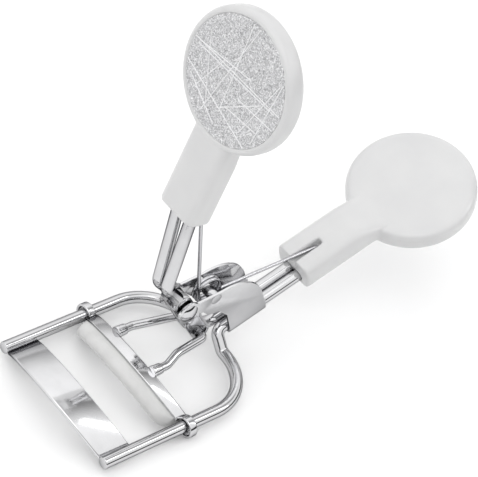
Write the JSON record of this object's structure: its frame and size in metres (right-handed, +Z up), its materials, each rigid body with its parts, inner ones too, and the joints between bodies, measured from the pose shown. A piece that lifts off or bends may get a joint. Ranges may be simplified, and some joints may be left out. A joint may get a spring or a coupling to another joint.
{
  "type": "eyelash curler",
  "caption": "Wire-frame eyelash curler with a bowed fixed jaw, a padded jaw that slides on the rails, a sprung thumb lever and round flat grips.",
  "frame": {"origin": "centre of the bounding box at its lowest plane, under the middle of the tool", "axes": "+X from the jaws along the rails towards the lower grip, +Y to the left across the rails, +Z up"},
  "size_m": [0.1086, 0.0392, 0.0953],
  "materials": {
    "chrome": "polished nickel-chrome plated steel wire and sheet",
    "spring_steel": "bright spring wire",
    "white_moulding": "white satin-gloss moulded plastic",
    "silicone": "white silicone rubber",
    "glitter": "silver glitter sheet under clear lacquer"
  },
  "bodies": {
    "frame": {"cage_wire_left": "chrome", "cage_wire_right": "chrome", "fixed_jaw_plate": "chrome", "frame_bracket": "chrome", "pivot_rivet": "chrome", "spring_pin": "chrome", "torsion_spring": "spring_steel", "lower_grip": "white_moulding", "lower_glitter_insert": "glitter"},
    "lever": {"lever_wire_left": "chrome", "lever_wire_right": "chrome", "pivot_spacer": "chrome", "upper_grip": "white_moulding", "upper_glitter_insert": "glitter"},
    "slider": {"crossbar_channel": "chrome", "silicone_pad": "silicone", "link_socket_left": "chrome", "link_socket_right": "chrome"},
    "link": {"link_wire": "chrome"}
  },
  "joints": [
    {"name": "lever_pivot", "type": "hinge", "parent": "frame", "child": "lever", "pos_m": [-0.0223, 0, 0.01931], "axis": [0, 1, 0], "range_deg": [0, 48.5], "stiffness_Nm_per_rad": 0.03, "springref_deg": -34.38, "deforming": ["torsion_spring"]},
    {"name": "jaw_slide", "type": "slide", "parent": "frame", "child": "slider", "axis": [-1, 0, 0], "range_m": [0, 0.0091]},
    {"name": "link_hinge", "type": "hinge", "parent": "slider", "child": "link", "pos_m": [-0.02965, 0, 0.00921], "axis": [0, 1, 0], "range_deg": [0, 7.2]}
  ],
  "couplings": [
    {"joint": "jaw_slide", "follows": "lever_pivot", "m_per_rad": 0.01069},
    {"joint": "link_hinge", "follows": "lever_pivot", "ratio": 0.1454}
  ]
}
